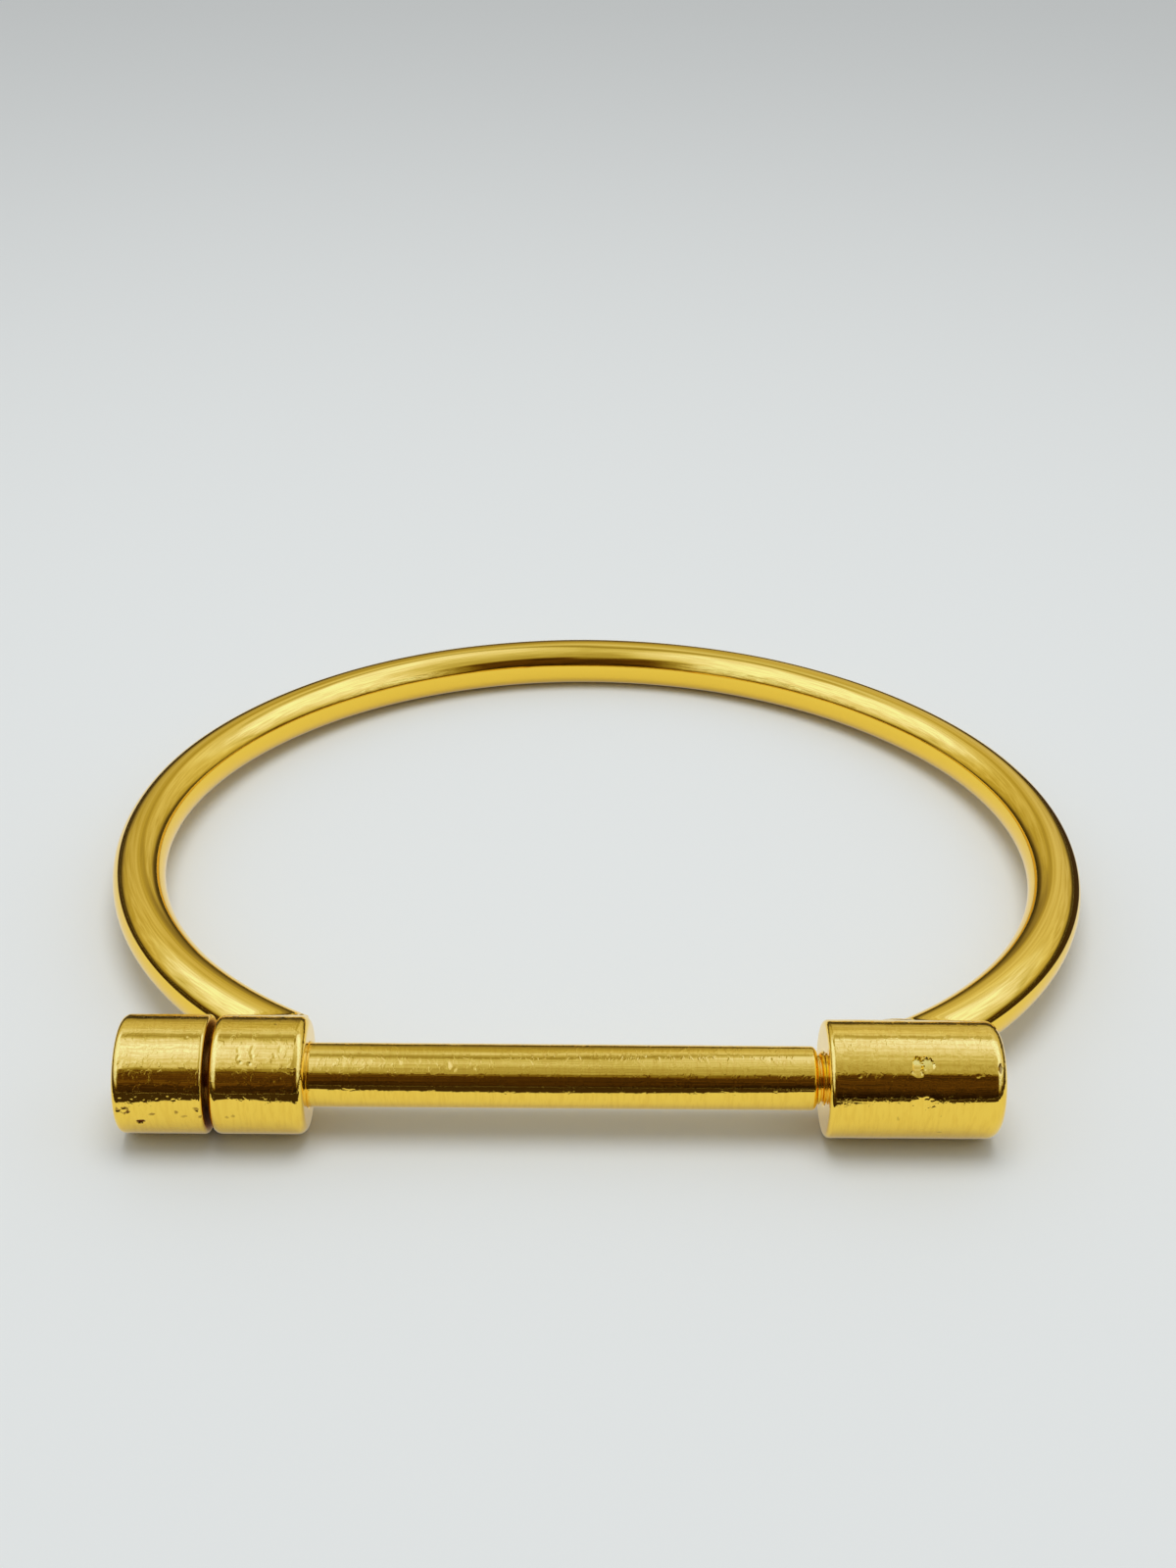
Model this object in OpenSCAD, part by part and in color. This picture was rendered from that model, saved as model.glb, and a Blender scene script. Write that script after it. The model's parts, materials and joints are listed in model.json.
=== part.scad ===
// Screw-bar bangle: a D-shaped hoop of round wire with a barrel soldered to each end, and a
// straight bar that runs through the left barrel and screws into the right one.
// Lengths are in millimetres. +X runs along the bar, +Y from the bar to the back of the hoop.
// The bangle lies on its side on the floor z = 0, under the middle of its outline.

/* [Hoop] */
// Width over the outside of the hoop
hoop_w = 66.2; // [56:0.2:74]
// Thickness of the round wire
wire_dia = 3.5; // [2.6:0.1:4.2]
// How much wider than half the hoop's width the bend at the back is
back_bend_extra = 0.6; // [0.2:0.1:4]
// How much tighter than half the hoop's width the bends at the sides are
side_bend_less = 3.2; // [1:0.1:6]
// Angle between the wire and the bar where the wire lands on its barrel
land_slope = 34; // [30:1:60]

/* [Barrels] */
// Outside diameter of the barrels and the knob
barrel_dia = 6.8; // [5.8:0.1:8]
// Length of the left barrel
left_barrel_len = 5.4; // [4:0.1:8]
// Length of the right barrel
right_barrel_len = 10.1; // [8:0.1:14]
// From where the wire lands on the left barrel to the barrel's outer end
left_overhang = 3.4; // [2.5:0.1:4]
// From where the wire lands on the right barrel to the barrel's outer end
right_overhang = 3.9; // [2.5:0.1:4.5]
// Rounding of both rims of the left barrel
left_rim_r = 0.55; // [0.2:0.05:0.8]
// Rounding of the right barrel's rim that faces the bar
right_rim_r = 0.3; // [0.2:0.05:0.8]
// Rounding of the right barrel's closed end
end_rim_r = 0.8; // [0.3:0.05:1.2]

/* [Screw bar] */
// Thickness of the bar
bar_dia = 3.7; // [3.4:0.1:4.2]
// Length of the knob
knob_len = 5.1; // [3:0.1:8]
// Rounding of the knob's outer rim
knob_rim_r = 0.4; // [0.2:0.05:0.8]
// Rounding of the knob's rim that faces the left barrel
knob_inner_rim_r = 0.2; // [0.1:0.05:0.8]
// How far the bar is unscrewed, which is the gap between the knob and the left barrel
undone = 0.25; // [0.2:0.05:1.5]
// Space between the bar's shoulder and the right barrel with the bar screwed home
shoulder_gap = 0.2; // [0.1:0.05:1]
// Bevel at the bar's shoulder
shoulder_bevel = 0.2; // [0.1:0.05:0.4]
// Diameter over the thread
thread_dia = 3; // [2.4:0.1:3]
// Length of the thread from the shoulder to the tip
thread_len = 6; // [4:0.1:6.5]
// Distance from one turn of the thread to the next
thread_pitch = 0.35; // [0.25:0.05:0.5]

/* [Fits] */
// Clearance all round the bar in the left barrel
bar_clearance = 0.05; // [0.02:0.01:0.1]
// Clearance all round the thread in the right barrel
thread_clearance = 0.05; // [0.02:0.01:0.1]
// Space past the tip in the right barrel with the bar screwed home
tip_gap = 0.4; // [0.2:0.1:0.8]

/* [Hidden] */
$fn = 64;
gold = [0.87, 0.70, 0.27];

// Sides of the wire's round section
wire_sides = 32;

// Steps in each quarter-round rim
rim_steps = 6;
// Depth of the thread's groove as a share of its pitch
thread_depth = 0.6 * thread_pitch;

barrel_r = barrel_dia / 2;
wire_r = wire_dia / 2;
half_w = hoop_w / 2 - wire_r;

// The wire's middle line lies flat in one plane: an arc at the back and a tighter arc at each side
back_r = half_w + back_bend_extra;
side_r = half_w - side_bend_less;
back_a = asin(side_bend_less / (side_bend_less + back_bend_extra));
side_x = half_w - side_r;
side_y = barrel_r + side_r * cos(land_slope);
hoop_depth = side_y + back_r - (back_r - side_r) * cos(back_a);

// Turn of the wire, from the middle of the back, where its middle line lands on the barrel's back
land_a = 180 - land_slope;
land_x = side_x + side_r * sin(land_a);

// The wire goes on inside the barrel for sunk_len and ends there, turned through sunk_a
sunk_len = 1.5 * barrel_r;
sunk_a = land_a + sunk_len / side_r * 180 / PI;

// The side bends are thicker by lap, so that the back's ends lie lap_a degrees inside them
lap = 0.01;
lap_a = 1;

// The hoop leans down to the floor at the back, because its wire is thinner than the barrels
lean_a = asin((barrel_r - wire_r) / hoop_depth);
middle_y = (hoop_depth * cos(lean_a) + wire_r - barrel_r) / 2;

left_x = -land_x - left_overhang;
left_inner_x = left_x + left_barrel_len;
right_x = land_x + right_overhang;
right_inner_x = right_x - right_barrel_len;

bore_len = thread_len - shoulder_gap + tip_gap;
knob_x = left_x - undone - knob_len;
shoulder_x = right_inner_x - shoulder_gap - undone;

// Points of a quarter round from angle a to a + 90 about the point [r, x]
function quarter(r, x, rim, a) =
    [for (i = [0:rim_steps]) let (t = a + 90 * i / rim_steps) [r + rim * cos(t), x + rim * sin(t)]];

// Turned shape along +X from x = 0, out of its half outline of [radius, x] points
module turned(points) {
    rotate([0, 90, 0]) rotate_extrude() polygon(points);
}

// Round barrel along +X from x = 0, with its own rounding at each end
module barrel(len, left_rim, right_rim) {
    turned(concat(
        [[0, 0]],
        quarter(barrel_r - left_rim, left_rim, left_rim, -90),
        quarter(barrel_r - right_rim, len - right_rim, right_rim, 0),
        [[0, len]]));
}

// Wire of the thickness d bent about [x, y] to the radius r, from the direction a1 to a2
module bent_wire(x, y, r, a1, a2, d) {
    translate([x, y, 0]) rotate([0, 0, a1]) rotate_extrude(angle = a2 - a1)
        translate([r, 0]) circle(d = d, $fn = wire_sides);
}

module back_bend() {
    bent_wire(0, hoop_depth - back_r, back_r, 90 - back_a - lap_a, 90 + back_a + lap_a, wire_dia);
}

module right_bend() {
    bent_wire(side_x, side_y, side_r, 90 - sunk_a, 90 - back_a, wire_dia + lap);
}

// The whole wire, from barrel to barrel, cut off square inside the barrels' inner rims
module wire() {
    difference() {
        union() {
            back_bend();
            right_bend();
            mirror([1, 0, 0]) right_bend();
        }
        translate([left_inner_x - left_rim_r, -barrel_dia, -barrel_dia])
            cube([right_inner_x - left_inner_x + left_rim_r + right_rim_r, 2 * barrel_dia, 2 * barrel_dia]);
    }
}

module left_barrel() {
    translate([left_x, 0, 0]) barrel(left_barrel_len, left_rim_r, left_rim_r);
}

module right_barrel() {
    translate([right_inner_x, 0, 0]) barrel(right_barrel_len, right_rim_r, end_rim_r);
}

// Plain bore right through the left barrel
module through_bore() {
    translate([left_x - 1, 0, 0]) rotate([0, 90, 0])
        cylinder(d = bar_dia + 2 * bar_clearance, h = left_barrel_len + 2);
}

// Blind bore in the right barrel, open towards the bar
module blind_bore() {
    translate([right_inner_x - 1, 0, 0]) rotate([0, 90, 0])
        cylinder(d = thread_dia + 2 * thread_clearance, h = bore_len + 1);
}

// Sets a shape whose bar axis is the X axis down on the floor, about the middle of the outline
module laid_down() {
    translate([0, -middle_y, barrel_r]) rotate([-lean_a, 0, 0]) children();
}

// Wire and both barrels, soldered into one
module hoop() {
    color(gold) laid_down() difference() {
        union() {
            wire();
            left_barrel();
            right_barrel();
        }
        through_bore();
        blind_bore();
    }
}

// Grooves of the thread as [radius, x] points, from the shoulder at x = 0 to the tip
function thread_points(len, count) =
    [for (i = [0:count - 1]) for (k = [0, 1])
        [thread_dia / 2 - k * thread_depth, (i + 0.5 * k) * len / count]];

// Knob, bar and threaded tip, turned from one piece
module screw_bar() {
    bar_end = shoulder_x - knob_x;
    thread_end = thread_len - thread_pitch;
    turns = floor(thread_end / thread_pitch);
    thread = [for (p = thread_points(turns * thread_pitch, turns)) [p[0], p[1] + bar_end]];
    color(gold) laid_down() translate([knob_x, 0, 0]) turned(concat(
        [[0, 0]],
        quarter(barrel_r - knob_rim_r, knob_rim_r, knob_rim_r, -90),
        quarter(barrel_r - knob_inner_rim_r, knob_len - knob_inner_rim_r, knob_inner_rim_r, 0),
        [[bar_dia / 2, knob_len],
         [bar_dia / 2, bar_end - shoulder_bevel],
         [bar_dia / 2 - shoulder_bevel, bar_end]],
        thread,
        [[thread_dia / 2, bar_end + turns * thread_pitch],
         [thread_dia / 2, bar_end + thread_len - thread_depth],
         [thread_dia / 2 - thread_depth, bar_end + thread_len],
         [0, bar_end + thread_len]]));
}

hoop();
screw_bar();
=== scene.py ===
"""Screw-bar bangle: the fine shapes and the gold finish of its wire, its barrels and its screw bar.

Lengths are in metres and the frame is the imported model's own: +X runs along the bar from the knob to
the closed barrel, +Y from the bar to the back of the hoop, and the bangle lies on the floor z = 0.
"""

import json
from collections import namedtuple
from math import asin, atan2, ceil, cos, hypot, pi, radians, sin, sqrt, tau

import bmesh
import bpy
from bpy.props import FloatProperty, FloatVectorProperty, IntProperty, PointerProperty
from mathutils import Matrix, Vector, noise


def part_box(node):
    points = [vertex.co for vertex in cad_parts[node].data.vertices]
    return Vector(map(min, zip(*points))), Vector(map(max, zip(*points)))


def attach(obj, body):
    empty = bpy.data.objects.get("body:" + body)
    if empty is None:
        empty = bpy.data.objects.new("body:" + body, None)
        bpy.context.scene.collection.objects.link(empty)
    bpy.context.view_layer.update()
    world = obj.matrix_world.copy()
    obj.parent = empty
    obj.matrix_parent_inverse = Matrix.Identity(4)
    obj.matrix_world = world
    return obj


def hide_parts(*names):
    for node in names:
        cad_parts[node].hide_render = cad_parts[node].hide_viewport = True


bl_info = {
    "name": "Screw-bar bangle",
    "version": (1, 0, 0),
    "blender": (4, 5, 0),
    "location": "3D View > Sidebar > Bangle",
    "description": "Makes the wire, the barrels and the screw bar of a D-shaped bangle, and its stage",
    "category": "Object",
}

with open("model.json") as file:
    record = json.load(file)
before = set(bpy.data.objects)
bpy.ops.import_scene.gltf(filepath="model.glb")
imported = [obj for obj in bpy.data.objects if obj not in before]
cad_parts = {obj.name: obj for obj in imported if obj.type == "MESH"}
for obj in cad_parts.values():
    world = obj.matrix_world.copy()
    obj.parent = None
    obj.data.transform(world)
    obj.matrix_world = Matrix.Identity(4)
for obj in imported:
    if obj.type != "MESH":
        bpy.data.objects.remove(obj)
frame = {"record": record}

MM = 0.001

# Places that the frame gives
MOUNTS = {mount["name"]: mount for mount in frame["record"]["mounts"]}
KNOB_X, BAR_Y, BAR_Z = MOUNTS["knob_end"]["pos_m"]
RIGHT_X = MOUNTS["barrel_end"]["pos_m"][0]
BAR_R = MOUNTS["bar"]["dims"]["r_mm"] * MM
HOOP_LOW, HOOP_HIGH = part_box("hoop")
TIP_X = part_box("screw_bar")[1].x

# The barrels and the knob rest on the floor, so the bar's height is their radius
BARREL_R = BAR_Z

# Vertices nearer than this are one vertex, and faces that meet at more than this have a sharp edge
WELD = 0.001 * MM
SHARP = radians(35)

# Distance from one ring of vertices to the next: along the barrels and the knob, along the bar, and
# where nothing is pressed in, on the flat ends and in the bores
BARREL_SPACING = 0.07 * MM
BAR_SPACING = 0.09 * MM
PLAIN_SPACING = 0.3 * MM

# Share of a piece's radius inside which its walls are a bore's, or the knob's hollow
BORE_SHARE = 0.7

# Height of the slow ripple of hand polishing on each turned piece, and the lengths of its waves
LEFT_RIPPLE = 0.008 * MM
RIGHT_RIPPLE = 0.010 * MM
KNOB_RIPPLE = 0.010 * MM
BAR_RIPPLE = 0.005 * MM
LONG_WAVE = 1.5 * MM
SHORT_WAVE = 0.5 * MM
SHORT_SHARE = 0.3

# How deep below a turned surface its marks and its ripple still reach, how finely and how much a
# mark's edge is frayed, and how much further out than its hollow its tarnish is full
WORN_DEPTH = 0.3 * MM
FRAY_WAVE = 0.14 * MM
FRAY_SHARE = 0.5
TARNISH_SPREAD = 1.5

# How dark the stain and the painted shade in the knob's gap are, and how far in from the rim they are full
GAP_STAIN_AND_SHADE = 0.9
GAP_STAIN_AND_SHADE_DEPTH = 0.3 * MM

# Waves of the wire's bending by hand, along it and across it
BEND_WAVE = 7 * MM
CROSS_WAVE = 2 * MM

# How far the solder fills its hollow, what is left of the wire inside the barrels' walls, and how deep
# the thread's ridge sits in its core
SOLDER_SHARE = 0.8
SUNK_WALL = 0.7 * MM
RIDGE_ROOT = 0.03 * MM

# Noise on the gold, in waves a metre along X, Y and Z, or along the wire, out from it and up
HAIR_WAVES = (5200, 800, 800)
STROKE_WAVES = (2600, 1900, 3000)
WORN_WAVES = (520, 520, 520)
GRAIN_WAVES = (9000, 900, 900)
WIRE_STROKE_WAVES = (3200, 420, 420)
WIRE_DRAW_WAVES = (90, 2600, 2600)
WIRE_WORN_WAVES = (260, 420, 420)

# How high the hairlines and the strokes stand on the turned pieces, and the strokes and the drawing's
# lines on the wire, as shares of the depth of the hairlines
HAIR_HEIGHT = 0.25
STROKE_HEIGHT = 0.6
WIRE_DEPTH = 0.3
WIRE_STROKE_HEIGHT = 0.6
WIRE_DRAW_HEIGHT = 0.35

# Roughness of the least and the most worn gold, as shares of the polished gold's on the turned pieces
# and on the wire, and outright on the thread, and how much rougher tarnish, scrapes and the stain with
# its painted shade in the knob's gap are
TURNED_ROUGHNESS = (0.6, 1.6)
WIRE_ROUGHNESS = (1.1, 2.0)
CUT_ROUGHNESS = (0.14, 0.24)
MARK_ROUGHNESS = 0.25
GAP_STAIN_AND_SHADE_ROUGHNESS = 0.5

# A mark of wear, in millimetres and degrees: where along the bar, the angle up from the front, its
# length and width, how far it is turned from the bar's direction, its depth, how dark the tarnish in it
# is, or how scraped and pale below 0, and its shape: a groove with straight walls, a pit with a flat
# bottom, a ring or a slanting cut that is deepest at its upper side
Mark = namedtuple("Mark", "x angle length width turn depth tarnish shape", defaults=(0.0, "groove"))

KNOB_MARKS = (
    Mark(-26.13, -13.6, 0.60, 0.32, 14, 0.110, 1.0, "pit"),
    Mark(-26.96, 1.1, 0.62, 0.52, 20, 0.045, 0.9, "ring"),
    Mark(-25.40, -3.6, 0.44, 0.20, 12, 0.035, 0.6, "pit"),
    Mark(-24.06, -0.9, 0.26, 0.26, 0, 0.035, 0.6, "pit"),
    Mark(-23.65, -5.9, 0.34, 0.20, 10, 0.025, 0.4, "pit"),
    Mark(-22.91, 2.9, 0.26, 0.36, 40, 0.045, 0.6, "pit"),
    Mark(-22.73, -6.7, 0.20, 0.26, 0, 0.040, 0.6, "pit"),
    Mark(-27.35, 1.7, 0.22, 0.36, 10, 0.045, 0.6, "pit"),
    Mark(-27.15, 13.6, 0.30, 0.16, 0, 0.020),
    Mark(-26.87, 15.5, 0.24, 0.20, 30, 0.020),
    Mark(-26.50, 12.6, 0.34, 0.14, -20, 0.020),
    Mark(-26.25, 14.9, 0.26, 0.20, 15, 0.022),
    Mark(-25.30, 16.4, 0.34, 0.16, 0, 0.018),
    Mark(-25.05, 13.4, 0.24, 0.16, 30, 0.016),
    Mark(-24.45, 15.8, 0.30, 0.18, -25, 0.022),
    Mark(-24.15, 13.2, 0.26, 0.14, 0, 0.018),
    Mark(-23.61, 74.6, 0.20, 0.18, 0, 0.024),
    Mark(-27.30, 46.0, 0.60, 0.60, 0, 0.020),
)
LEFT_MARKS = (
    Mark(-20.60, 61.0, 0.14, 0.56, 12, 0.028, -0.5),
    Mark(-20.58, 54.5, 0.14, 0.50, -16, 0.028, -0.5),
    Mark(-19.84, 62.5, 0.14, 0.56, -12, 0.026, -0.5),
    Mark(-19.80, 55.5, 0.16, 0.60, 16, 0.030, -0.6),
    Mark(-20.46, 49.5, 0.22, 0.22, 0, 0.030, -0.6),
    Mark(-19.92, 48.5, 0.26, 0.22, 0, 0.032, -0.7),
    Mark(-18.28, 62.3, 0.14, 0.60, -10, 0.020, -0.3),
    Mark(-18.55, 56.3, 0.14, 0.50, 20, 0.020, -0.3),
    Mark(-18.60, 31.5, 0.20, 0.20, 0, 0.020),
    Mark(-18.20, 34.0, 0.16, 0.26, 0, 0.018),
    Mark(-18.73, 95.0, 0.18, 0.30, 15, 0.030, 0.4),
    Mark(-16.98, 74.0, 0.20, 0.24, 0, 0.110, 0.9),
    Mark(-21.26, -6.9, 0.24, 0.20, 0, 0.020, 0.4, "pit"),
    Mark(-20.87, -5.5, 0.26, 0.22, 0, 0.025, 0.4, "pit"),
)
RIGHT_MARKS = (
    Mark(17.66, 50.5, 0.56, 1.24, -8, 0.240, -1.0, "cut"),
    Mark(18.22, 52.5, 0.70, 0.94, 25, 0.170, -0.9, "cut"),
    Mark(18.00, 12.0, 1.50, 1.30, 0, 0.050),
    Mark(22.33, 49.2, 0.26, 0.56, 0, 0.090, 0.7, "pit"),
    Mark(16.62, -1.8, 0.16, 0.44, 20, 0.030, 0.4),
    Mark(19.05, 1.1, 0.40, 0.16, -15, 0.035, 0.4),
    Mark(19.12, -23.0, 0.36, 0.20, 0, 0.025, 0.4),
    Mark(13.95, 12.5, 0.60, 0.16, -35, 0.018),
    Mark(14.45, 11.0, 0.40, 0.14, -30, 0.018),
    Mark(15.96, 31.5, 0.16, 0.70, 0, 0.012),
    Mark(16.84, 31.5, 0.18, 0.80, 0, 0.012),
    Mark(14.36, 40.7, 0.20, 0.22, 0, 0.020),
    Mark(14.20, 46.0, 0.14, 0.40, 10, 0.014),
    Mark(21.06, 41.5, 0.24, 0.20, 0, 0.020),
    Mark(21.30, 47.0, 0.16, 0.50, 15, 0.014),
    Mark(20.10, 62.0, 0.14, 0.60, 25, 0.010),
    Mark(15.30, 60.0, 0.14, 0.70, 25, 0.010),
)
BAR_MARKS = (
    Mark(-8.88, 55.0, 0.40, 0.80, 15, 0.030),
    Mark(-8.55, 49.0, 0.26, 0.34, -30, 0.020),
    Mark(-7.48, 51.6, 0.30, 0.30, 0, 0.014),
    Mark(-14.85, 57.2, 0.12, 0.70, 0, 0.008),
    Mark(-11.68, 62.0, 0.26, 0.40, 20, 0.012),
    Mark(-10.56, 64.3, 0.14, 0.40, 0, 0.010),
    Mark(-2.40, 58.6, 0.14, 0.36, 0, 0.010),
    Mark(1.02, 48.2, 0.22, 0.34, 0, 0.014),
    Mark(2.19, 28.5, 0.20, 0.20, 0, 0.014),
    Mark(3.93, 60.0, 0.12, 1.20, 28, 0.008),
    Mark(4.60, 58.0, 0.12, 0.90, 28, 0.007),
    Mark(8.13, 51.8, 0.26, 0.40, 0, 0.014),
    Mark(9.50, 72.1, 0.22, 0.30, 0, 0.010),
)

# How strong the light is that the gold mirrors from above the floor: the angle about the bar's
# direction, from the front horizon over the top to the back horizon, with the strength seen by the
# knob's end, by the middle of the bar and by the closed barrel
Band = namedtuple("Band", "angle left middle right")
BANDS = (
    Band(0, 0.04, 0.04, 0.02),
    Band(8, 0.04, 0.05, 0.02),
    Band(14, 0.05, 0.06, 0.05),
    Band(20, 0.10, 0.06, 0.08),
    Band(27, 0.09, 0.07, 0.09),
    Band(31, 0.07, 0.08, 0.08),
    Band(35, 0.10, 0.10, 0.10),
    Band(39, 0.13, 0.18, 0.06),
    Band(43, 0.11, 0.32, 0.08),
    Band(46.5, 0.25, 0.43, 0.18),
    Band(50, 0.58, 0.44, 0.42),
    Band(55, 0.70, 0.41, 0.48),
    Band(62, 0.78, 0.44, 0.47),
    Band(70, 0.85, 0.50, 0.58),
    Band(78, 0.91, 0.60, 0.65),
    Band(86, 0.93, 0.62, 0.80),
    Band(94, 0.89, 0.60, 0.89),
    Band(101, 0.86, 0.53, 0.91),
    Band(105, 0.70, 0.39, 0.74),
    Band(109, 0.42, 0.36, 0.46),
    Band(113, 0.34, 0.36, 0.50),
    Band(117, 0.42, 0.46, 0.68),
    Band(121, 0.68, 0.54, 0.76),
    Band(126, 0.70, 0.71, 0.70),
    Band(131, 0.66, 0.67, 0.66),
    Band(138, 0.58, 0.54, 0.62),
    Band(146, 0.58, 0.45, 0.60),
    Band(154, 0.52, 0.40, 0.58),
    Band(162, 0.44, 0.27, 0.52),
    Band(167, 0.32, 0.22, 0.42),
    Band(172, 0.10, 0.12, 0.12),
    Band(180, 0.02, 0.04, 0.03),
)

# The same for the lights at the sides, by the angle up from the horizon
SIDE_LIGHT = (
    (0, 0.03), (4, 0.06), (8, 0.32), (11, 0.52), (14, 0.64), (18, 0.72), (24, 0.80), (32, 0.88),
    (40, 0.95), (48, 0.99), (66, 1.00), (73, 0.92), (81, 0.62), (90, 0.61),
)

# Colour of the light at each strength, before and above the bangle and behind it
LIGHT_COLOURS = (
    (0.00, (0.00, 0.00, 0.00)),
    (0.05, (0.048, 0.025, 0.012)),
    (0.12, (0.12, 0.060, 0.02)),
    (0.28, (0.28, 0.25, 0.10)),
    (0.45, (0.45, 0.44, 0.40)),
    (0.60, (0.60, 0.63, 0.80)),
    (0.75, (0.75, 0.82, 1.60)),
    (0.92, (0.91, 1.07, 3.10)),
    (1.00, (0.95, 1.32, 3.80)),
)
WALL_COLOURS = (
    (0.00, (0.00, 0.00, 0.00)),
    (0.15, (0.15, 0.12, 0.06)),
    (0.30, (0.30, 0.26, 0.16)),
    (0.46, (0.46, 0.42, 0.22)),
    (0.60, (0.60, 0.58, 0.56)),
    (0.75, (0.75, 0.78, 1.05)),
    (1.00, (0.95, 1.20, 2.60)),
)

# Over which directions along the bar the knob's bands turn into the bar's, and these into the barrel's
KNOB_TO_BAR = (-0.19, -0.03)
BAR_TO_BARREL = (0.03, 0.14)

# The seam between the bands overhead: between which angles it starts and ends, and by how many degrees
# it slants, as (direction along the bar, direction, slant at the first, slant at the second)
SEAM_START = (60.0, 118.0)
SEAM_END = (128.0, 175.0)
KNOB_SLANT = (-0.17, -0.05, 3.0, -5.0)
BARREL_SLANT = (-0.02, 0.13, 0.0, 22.0)

# Where the bands end at the sides, in the same form: in front by the direction along the bar, and at
# the back by the height, with the directions over which front turns into back and bands into sides
FRONT_END = (-0.1, 0.1, 0.27, 0.52)
BACK_END = (0.3, 0.85, 0.85, 0.22)
FRONT_TO_BACK = (-0.25, 0.25)
BANDS_TO_SIDES = (-0.07, 0.26)

# From which angle to which the light before and above the bangle turns into the light behind it, and
# the streaks of the dark front into the patches further up
FRONT_TO_WALL = (124.0, 144.0)
STREAKS_TO_PATCHES = (42.0, 52.0)

# Noise on the mirrored light, in waves over the sphere of directions, and the strengths it turns into
STREAK_WAVES = (6, 42, 42)
PATCH_WAVES = (16, 16, 16)
STREAK_STRENGTHS = (0.45, 1.45)
PATCH_STRENGTHS = (0.88, 1.10)

# From which angle to which the light on the floor gets stronger, and from what share to what share
DOME_RISE = (20.0, 75.0)
DOME_SHARES = (0.30, 1.15)

# Share of the floor's mirrored light that it gives off by itself
FLOOR_GLOW_SHARE = 0.38

# A dark card just over the floor, which only the gold mirrors, with round bright spots cut out of it
# and round dark ones laid over these, each as (middle on the floor, radius)
CARD_COLOUR = (0.045, 0.028, 0.016)
CARD_RADIUS = 1.0
CARD_HEIGHT = 0.05 * MM
SPOT_EDGE = 1 * MM
BRIGHT_SPOT = ((14 * MM, -29 * MM), 45 * MM)
DARK_SPOTS = (
    ((-3 * MM, -60 * MM), 22 * MM),
    ((97 * MM, 8 * MM), 60 * MM),
)


def length_property(name, description, default, precision=5):
    return FloatProperty(
        name=name, description=description, default=default, unit="LENGTH", precision=precision)


def angle_property(name, description, degrees):
    return FloatProperty(name=name, description=description, default=radians(degrees), unit="ROTATION")


def colour_property(name, description, default):
    return FloatVectorProperty(
        name=name, description=description, default=default, subtype="COLOR", min=0, max=1)


def place_property(name, description, default):
    return FloatVectorProperty(
        name=name, description=description, default=default, subtype="TRANSLATION", unit="LENGTH",
        precision=6)


class BangleWire(bpy.types.PropertyGroup):
    """Sizes of the hoop's wire."""

    thickness: length_property("Thickness", "Thickness of the round wire", 3.5 * MM)
    back_bend_extra: length_property(
        "Back bend", "How much wider than half the hoop's width the bend at the back is", 0.6 * MM)
    side_bend_less: length_property(
        "Side bends", "How much tighter than half the hoop's width the side bends are", 3.2 * MM)
    land_slope: angle_property(
        "Landing slope", "Angle between the wire and the bar where it lands on a barrel", 34)
    ring_gap: length_property(
        "Ring gap", "Distance along the wire from one ring of vertices to the next", 0.25 * MM)
    sides: IntProperty(
        name="Sides", description="Number of vertices round the wire", default=56, min=12)
    solder: length_property(
        "Solder", "Radius of the solder's hollow where the wire meets a barrel", 0.6 * MM)
    swell: length_property(
        "Swell", "How much thicker the solder makes the wire inside its left landing", 0.14 * MM)
    swell_reach: length_property(
        "Swell reach", "How far from the left barrel the swell starts", 7 * MM)
    waviness: length_property(
        "Waviness", "Height of the hand-bent wire's slow waves", 0.014 * MM, precision=6)


class BangleBarrels(bpy.types.PropertyGroup):
    """Sizes of the two barrels."""

    left_length: length_property("Left length", "Length of the left barrel", 5.4 * MM)
    right_length: length_property("Right length", "Length of the right barrel", 10.1 * MM)
    left_rim: length_property("Left rim", "Rounding of both rims of the left barrel", 0.55 * MM)
    right_rim: length_property(
        "Right rim", "Rounding of the right barrel's rim that faces the bar", 0.3 * MM)
    end_rim: length_property("End rim", "Rounding of the right barrel's closed end", 0.8 * MM)
    bore_clearance: length_property(
        "Bore clearance", "Space all round the bar and the thread in their bores", 0.05 * MM)
    mouth: length_property("Bore mouth", "Rounding of the mouths of the bores", 0.12 * MM)
    tip_gap: length_property(
        "Tip gap", "Space past the bar's tip in the blind bore, as the bar stands", 0.65 * MM)
    sides: IntProperty(
        name="Sides", description="Number of vertices round a barrel", default=400, min=24)


class BangleScrewBar(bpy.types.PropertyGroup):
    """Sizes of the knob, the bar and its thread."""

    knob_length: length_property("Knob length", "Length of the knob", 5.09 * MM)
    knob_rim: length_property("Knob rim", "Rounding of the knob's outer rim", 0.4 * MM)
    knob_inner_rim: length_property(
        "Knob inner rim", "Rounding of the knob's rim that faces the left barrel", 0.2 * MM)
    undone: length_property("Undone", "Gap between the knob and the left barrel", 0.26 * MM)
    shoulder_gap: length_property(
        "Shoulder gap", "Gap between the bar's shoulder and the right barrel, as the bar stands", 0.45 * MM)
    bevel: length_property("Bevel", "Bevel at the bar's shoulder", 0.2 * MM)
    thread_radius: length_property("Thread radius", "Radius over the thread", 1.5 * MM)
    pitch: length_property("Pitch", "Distance from one turn of the thread to the next", 0.35 * MM)
    depth: length_property("Depth", "Depth of the thread", 0.15 * MM)
    sides: IntProperty(
        name="Sides", description="Number of vertices round the bar", default=176, min=24)


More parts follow.
